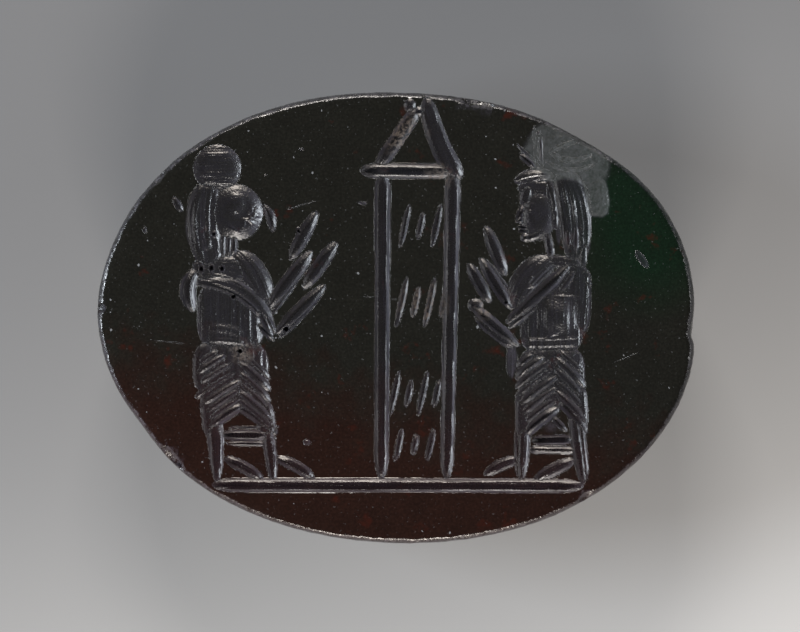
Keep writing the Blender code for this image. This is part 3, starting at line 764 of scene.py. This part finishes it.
# Patterns of the stone and of its ground skin: size of a blob in millimetres, detail, roughness, and the
# (place, grey) stops that sharpen it. The real grit is finer, and is drawn 0.055 mm across so that it shows
PATTERNS = {
    "rim_crumbs": (0.13, 3.0, 0.70, ((0.38, 0.25), (0.62, 1.0))),
    "clouds": (3.2, 4.0, 0.50, ()),
    "wisps": (0.70, 5.0, 0.60, ()),
    "grains": (0.07, 2.0, 0.60, ((0.40, 0.0), (0.66, 1.0))),
    "spots": (0.90, 4.0, 0.65, ((0.63, 0.0), (0.74, 1.0))),
    "haze": (0.10, 2.0, 0.70, ((0.655, 0.0), (0.76, 1.0))),
    "grit": (0.055, 1.0, 0.50, ((0.42, 0.0), (0.66, 1.0))),
    "patches": (0.16, 4.0, 0.75, ((0.36, 0.05), (0.64, 0.75))),
    "earth_crumbs": (0.11, 3.0, 0.70, ((0.44, 0.0), (0.66, 0.9))),
    "smears": (1.6, 3.0, 0.50, ()),
}

# Wheel marks: width and length in millimetres, detail and stops. The real ones are some 0.01 mm across,
# too fine to show, so the streaks are drawn 0.045 mm across. The bands are the wobble of the wheel
WHEEL_MARKS = {
    "streaks": (0.045, 1.0, 2.0, ((0.34, 0.0), (0.68, 1.0))),
    "bands": (0.17, 3.0, 1.0, ((0.34, 0.0), (0.66, 1.0))),
}

# Where earth is left, in millimetres: middle and reach
EARTH = ((0.24, 5.2, 0.8), (0.75, 0.4, 0.85), (2.5, 0.25, 0.4), (1.2, 4.0, 0.5), (-4.38, -0.98, 0.42))

# The greenest spot of the face, and how much each millimetre away from it takes off the green
GREENEST = (7.4 * MM, 3.2 * MM, 3.0 * MM)
GREEN_FALL = 0.22 / MM

# How much redder the stone gets with each millimetre along x and y
RED_RISE = (-0.03 / MM, -0.17 / MM, 0.0)

# Cells of the dust and how far they are pushed out of shape
DUST_CELL = 0.26 * MM
DUST_STRAY = 0.05 * MM


def linear(code):
    """A colour from its sRGB hex code."""
    values = [int(code[i:i + 2], 16) / 255 for i in (1, 3, 5)]
    return tuple(v / 12.92 if v <= 0.04045 else ((v + 0.055) / 1.055) ** 2.4 for v in values)


def codes(group):
    """The colours of a property group, ready for shader sockets."""
    return {name: (*getattr(group, name), 1.0) for name in group.__annotations__}


def node(tree, kind, *values, sockets=None, output=0, stops=(), **settings):
    """Adds a node with its settings, sets or links its sockets, and gives a ramp its stops. Returns one of
    its outputs, or all of them where output is None."""
    kind, setting, order, output = KINDS.get(kind, (kind, settings, (), output))
    made = tree.nodes.new("ShaderNode" + kind)
    for name, value in setting.items():
        setattr(made, name, value)
    for name, value in (*zip(order, values), *(sockets or {}).items()):
        if isinstance(value, bpy.types.NodeSocket):
            tree.links.new(value, made.inputs[name])
        else:
            made.inputs[name].default_value = value
    for i, (position, grey) in enumerate(stops):
        elements = made.color_ramp.elements
        element = elements[i] if i < 2 else elements.new(position)
        element.position, element.color = position, (grey, grey, grey, 1.0)
    return made.outputs if output is None else made.outputs[output]


def empty_material(name):
    """A new material without nodes, and the function that adds them to it."""
    material = bpy.data.materials.new(name)
    material.use_nodes = True
    material.node_tree.nodes.clear()
    return material, partial(node, material.node_tree)


def bloodstone(colours):
    """Polished chalcedony: dark, glassy and mottled green, olive and red-brown with a few red jasper spots.
    The wheel leaves it frosted and pale grey, with fine streaks along each stroke that catch the light; its
    steep walls get a painted sheen and its lips, walls, flakes and rim a painted glint."""
    material, add = empty_material("bloodstone")
    place = add("TexCoord", output="Object")
    lay = add("Attribute", attribute_name="lay", output="Vector")
    notes = ("frost", "matte", "rim", "wall", "lip")
    frost, matte, rim, wall, lip = (add("Attribute", attribute_name=name, output="Fac") for name in notes)
    pattern = {}
    for name, (size, detail, roughness, stops) in PATTERNS.items():
        pattern[name] = add("NOISE", place, 1 / (size * MM), detail, roughness)
        if stops:
            pattern[name] = add("RAMP", pattern[name], stops=stops)
    for name, (across, along, detail, stops) in WHEEL_MARKS.items():
        stretched = add("Mapping", sockets={"Vector": lay, "Scale": (1 / across, 1 / along, 1.0)})
        pattern[name] = add("RAMP", add("NOISE", stretched, 1.0, detail), stops=stops)
    rim = add("MULTIPLY", rim, pattern["rim_crumbs"])

    # Clouds: green to the upper right, red-brown along the bottom, olive black between
    near = add("MULTIPLY_ADD", add("DISTANCE", place, GREENEST), -GREEN_FALL, 1.0)
    greenness = add("MULTIPLY_ADD", pattern["clouds"], 0.5, near)
    redness = add("MULTIPLY_ADD", pattern["wisps"], 0.7, add("DOT", place, RED_RISE))
    green_share = add("RAMP", greenness, stops=((0.48, 0.0), (0.94, 1.0)))
    red_share = add("RAMP", redness, stops=((0.55, 0.0), (1.0, 1.0)))
    wisp_share = add("MULTIPLY", pattern["wisps"], 0.5)
    spot_share = add("MULTIPLY", pattern["spots"], 0.8)
    stone = colours["olive"]
    for share, name in ((green_share, "green"), (red_share, "brown"), (wisp_share, "shade")):
        stone = add("BLEND", share, stone, colours[name])
    stone = add("SCALE", stone, add("MULTIPLY_ADD", pattern["grains"], 0.54, 1.0))
    stone = add("BLEND", spot_share, stone, colours["jasper"])

    # Dust and pinprick pits, 0.02 to 0.08 mm wide and of uneven shape, and a haze of finer dust
    stray = add("SHIFT", add("STRAY", place, 1 / DUST_STRAY, 1.0), (DUST_STRAY,) * 3, place)
    cells = {"Vector": stray, "Scale": 1 / DUST_CELL, "Randomness": 1.0}
    specks = add("TexVoronoi", sockets=cells, output=None)
    pick = add("SeparateColor", sockets={"Color": specks["Color"]}, output="Red")
    size = add("MULTIPLY", add("POWER", pick, 7.0), 0.15)
    dust = add("LESS_THAN", specks["Distance"], size)
    unfrosted = add("SUBTRACT", 1.0, frost)
    surface = stone
    for layer, strength in ((dust, 0.55), (pattern["haze"], 0.20)):
        share = add("MULTIPLY", add("MULTIPLY", layer, strength), unfrosted)
        surface = add("BLEND", share, surface, colours["dust"])

    # How rough, how worn pale and how much painted glint each spot gets: the strongest of what lies there.
    # Worn is real wear on the flakes and rim and painted sheen on steep walls; edge is the share of painted
    # glint
    strongest = {
        "rough": ((frost, 1.0), (matte, 0.75), (rim, 0.9)),
        "worn": ((wall, 1.0), (matte, 0.8), (rim, 0.8)),
        "edge": ((lip, 0.5), (wall, 0.25), (matte, 0.2), (rim, 0.47)),
    }
    for name, parts in strongest.items():
        strongest[name] = 0.0
        for note, strength in parts:
            strongest[name] = add("MAXIMUM", strongest[name], add("MULTIPLY", note, strength))
    rough, worn, edge = strongest.values()

    # Ground cuts: streaks and grit on their floors, a painted glint on walls and lips, patchy on the flakes
    texture = add("MULTIPLY", matte, pattern["patches"])
    for name, strength in (("streaks", 0.4), ("grit", 0.3), ("bands", 0.3)):
        texture = add("MULTIPLY_ADD", pattern[name], strength, texture)
    # Paler where the flakes and rim are worn, and on steep walls as painted sheen
    pale_and_painted_sheen = add("MULTIPLY", add("MULTIPLY_ADD", worn, 0.65, 0.36), add("ADD", texture, 0.08))
    # Painted glint: bright speckle that stands in for light caught on lips, walls, flakes and rim
    glint = add("MULTIPLY", edge, add("POWER", texture, 1.4))
    veil = add("BLEND", matte, colours["frost"], colours["veil"])
    floor = add("BLEND", 0.2, stone, colours["floor"])
    frosted_with_painted_light = add("BLEND", pale_and_painted_sheen, floor, veil)
    frosted_with_painted_light = add("BLEND", glint, frosted_with_painted_light, colours["glint"])
    warm = add("TINT", frosted_with_painted_light, (1.25, 0.95, 0.88))
    warm_share = add("MULTIPLY", red_share, 0.6)
    frosted_with_painted_light = add("BLEND", warm_share, frosted_with_painted_light, warm)
    surface = add("BLEND", rough, surface, frosted_with_painted_light)

    # Pale earth left in the gable, one row of strokes, the lowest hand and the sash
    earth = 0.0
    for x, y, reach in EARTH:
        share = add("MULTIPLY", add("DISTANCE", place, (x * MM, y * MM, 3.0 * MM)), 1 / (reach * MM))
        here = add("RAMP", share, stops=((0.35, 1.0), (1.0, 0.0)))
        earth = add("MAXIMUM", earth, here)
    for share in (pattern["earth_crumbs"], frost):
        earth = add("MULTIPLY", earth, share)
    surface = add("BLEND", earth, surface, colours["earth"])

    height = 0.0
    for name, strength in (("streaks", 0.55), ("grit", 0.35), ("bands", 1.6)):
        height = add("MULTIPLY_ADD", pattern[name], strength, height)
    height = add("MULTIPLY", height, rough)
    bump = add("Bump", sockets={"Height": height, "Distance": 0.010 * MM, "Strength": 1.0})

    # A polished face with faint smears, and ground cuts
    polish = add("MULTIPLY_ADD", pattern["smears"], 0.10, 0.10)
    ground = 0.28
    for value, strength in ((worn, 0.14), (pattern["grit"], -0.05), (rim, 0.2)):
        ground = add("MULTIPLY_ADD", value, strength, ground)
    roughness = add("BLEND_VALUES", rough, polish, ground)
    roughness = add("BLEND_VALUES", earth, roughness, 0.9)

    skin = {"Base Color": surface, "Roughness": roughness, "Normal": bump, "IOR": 1.54}
    add("OutputMaterial", sockets={"Surface": add("BsdfPrincipled", sockets=skin)}, output=None)
    return material


def opal_glass(colours, glow):
    """The sand-blasted opal glass of a light table: pale, even and very slightly lit from below, with a
    painted fall-off of light across it.
    """
    material, add = empty_material("opal_glass")
    place = add("TexCoord", output="Object")
    # The table darkens up the picture and a little to the left, over 28 mm: a painted fall-off of light, in
    # its colour and its glow
    lean = add("DOT", place, (-0.34, 1.0, 0.0))
    share = add("MapRange", sockets={"Value": lean, "From Min": 14 * MM, "From Max": -14 * MM})
    tone_with_painted_falloff = add("BLEND", add("POWER", share, 2.5), colours["table_far"], colours["table_near"])
    skin = {"Base Color": tone_with_painted_falloff, "Emission Color": tone_with_painted_falloff, "Emission Strength": glow, "Roughness": 0.7,
            "IOR": 1.5}
    add("OutputMaterial", sockets={"Surface": add("BsdfPrincipled", sockets=skin)}, output=None)
    return material


# Settings, operators and panel

def length(name, description, default):
    """A length that the panel shows with its unit."""
    return FloatProperty(name=name, description=description, default=default, unit="LENGTH",
                         subtype="DISTANCE", precision=5)


def colour(name, description, code):
    """A colour from its sRGB hex code."""
    return FloatVectorProperty(name=name, description=description, default=linear(code), subtype="COLOR",
                               size=3, min=0.0, max=1.0)


class GemSizes(bpy.types.PropertyGroup):
    """Sizes of the stone."""
    half_length: length("Half length", "Half of the oval along the design", 8.503 * MM)
    half_width: length("Half width", "Half of the oval up the design", 6.440 * MM)
    thickness: length("Thickness", "Back to face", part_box(NODE)[1][2])
    cell: length("Cell", "Side of the squares that the polished face is cut into", 0.25 * MM)
    rim_points: IntProperty(name="Rim points", description="Points around the oval", default=512, min=64,
                            max=1024)


class GemColours(bpy.types.PropertyGroup):
    """Colours of the stone, of what lies on it and of the table."""
    green: colour("Green", "Deep green of the upper right", "#0A190F")
    olive: colour("Olive", "Olive black of the middle", "#161613")
    brown: colour("Brown", "Red-brown of the bottom", "#1E100C")
    shade: colour("Shade", "Darkest wisps", "#050504")
    jasper: colour("Jasper", "Small red spots", "#30120B")
    dust: colour("Dust", "Specks of dust and pinprick pits", "#8C9096")
    frost: colour("Frost", "Ground surface of the cuts", "#282732")
    veil: colour("Veil", "Matte skin of the flakes", "#353B38")
    # Colour of the painted glint on the lips and walls of the cuts, the flakes and the rim
    glint: colour("Glint", "Bright grit on the walls of the cuts", "#5E5C68")
    floor: colour("Floor", "Darker lines between the streaks", "#1A1920")
    earth: colour("Earth", "Crumbs of earth left in the cuts", "#5E554F")
    # Ends of the painted fall-off of light across the table: the far end in painted shade, the near end lit
    table_far: colour("Table, far", "Tone of the table above the gem", "#58595B")
    table_near: colour("Table, near", "Tone of the table below the gem", "#A0A0A0")


class GemStage(bpy.types.PropertyGroup):
    """Table, lights and camera."""
    glow: FloatProperty(name="Glow", description="How brightly the table is lit from below", default=0.5,
                        min=0.0)
    table_size: length("Table size", "Side of the table", 3.0)
    light_power: FloatProperty(name="Light power", description="Power that the lights take their shares of",
                               default=0.50, unit="POWER", min=0.0)
    light_distance: length("Light distance", "From the lights to the middle of the gem's back", 0.16)
    camera_height: length("Camera height", "Lens above the face", 0.1893)
    lens: FloatProperty(name="Lens", description="Focal length in millimetres", default=300.0, unit="CAMERA")


class GEM_OT_add_gem(bpy.types.Operator):
    """Add the engraved gem in place of its solid"""
    bl_idname = "gem.add_gem"
    bl_label = "Add Engraved Gem"

    def execute(self, context):
        sizes = context.scene.gem_sizes
        bpy.ops.object.select_all(action="DESELECT")
        bpy.ops.mesh.primitive_circle_add(vertices=sizes.rim_points, radius=sizes.half_width)
        gem = context.object
        gem.name = gem.data.name = "gem"
        strokes = GROUND_LINE + SHRINE + inscription_strokes() + BIRD_HEADED_FIGURE + CROWNED_FIGURE + NICKS

        bpy.ops.object.mode_set(mode="EDIT")
        raise_side(gem, sizes)
        cut_into_cells(gem, sizes)
        refine_near_work(gem, strokes, sizes)
        bpy.ops.object.mode_set(mode="OBJECT")
        engrave(gem, strokes, sizes)
        bpy.ops.object.shade_smooth_by_angle(angle=SMOOTH_BELOW)

        gem.data.materials.append(bloodstone(codes(context.scene.gem_colours)))
        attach(gem, "root")
        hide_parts(NODE)
        return {"FINISHED"}


class GEM_OT_add_stage(bpy.types.Operator):
    """Add the table, the lights and the camera"""
    bl_idname = "gem.add_stage"
    bl_label = "Add Table, Lights and Camera"

    def execute(self, context):
        stage = context.scene.gem_stage
        bpy.ops.object.select_all(action="DESELECT")
        bpy.ops.mesh.primitive_plane_add(size=stage.table_size, location=(0, 0, -TABLE_GAP))
        table = context.object
        table.name = table.data.name = "table"
        table.data.materials.append(opal_glass(codes(context.scene.gem_colours), stage.glow))

        for number, (bearing, height, share, warmth) in enumerate(LIGHTS, start=1):
            lamp = bpy.data.lights.new(f"low_light_{number}", "AREA")
            lamp.shape = "RECTANGLE"
            lamp.size, lamp.size_y = LIGHT_SIZE
            lamp.energy = stage.light_power * share
            lamp.color = (1 + warmth, 1.0, 1 - warmth)
            light = bpy.data.objects.new(lamp.name, lamp)
            turn = Euler((0.0, math.radians(90 - height), math.radians(bearing)))
            light.location = turn.to_matrix() @ Vector((0.0, 0.0, stage.light_distance))
            light.rotation_euler = light.location.to_track_quat("Z", "Y").to_euler()
            light.visible_camera = False
            context.scene.collection.objects.link(light)

        world = bpy.data.worlds.new("dim_room")
        world.use_nodes = True
        world.node_tree.nodes["Background"].inputs["Color"].default_value = DIM_ROOM
        context.scene.world = world

        lens = bpy.data.cameras.new("camera")
        lens.lens = stage.lens
        lens.clip_start, lens.clip_end = CAMERA_CLIPS
        camera = bpy.data.objects.new("camera", lens)
        camera.location = (*CAMERA_MIDDLE, context.scene.gem_sizes.thickness + stage.camera_height)
        context.scene.collection.objects.link(camera)
        context.scene.camera = camera
        context.scene.view_settings.view_transform = "Standard"
        return {"FINISHED"}


class GEM_PT_panel(bpy.types.Panel):
    """The gem's sizes, colours and operators"""
    bl_idname = "GEM_PT_panel"
    bl_label = "Engraved Gem"
    bl_space_type = "VIEW_3D"
    bl_region_type = "UI"
    bl_category = "Gem"

    def draw(self, context):
        for group in GROUPS:
            column, settings = self.layout.column(), getattr(context.scene, group)
            for name in settings.__annotations__:
                column.prop(settings, name)
        self.layout.operator(GEM_OT_add_gem.bl_idname)
        self.layout.operator(GEM_OT_add_stage.bl_idname)


GROUPS = {"gem_sizes": GemSizes, "gem_colours": GemColours, "gem_stage": GemStage}
CLASSES = (*GROUPS.values(), GEM_OT_add_gem, GEM_OT_add_stage, GEM_PT_panel)


def register():
    for made in CLASSES:
        bpy.utils.register_class(made)
    for name, group in GROUPS.items():
        setattr(bpy.types.Scene, name, PointerProperty(type=group))


def unregister():
    for name in GROUPS:
        delattr(bpy.types.Scene, name)
    for made in reversed(CLASSES):
        bpy.utils.unregister_class(made)


def main():
    register()
    bpy.ops.gem.add_gem()
    bpy.ops.gem.add_stage()


if __name__ == "__main__":
    main()
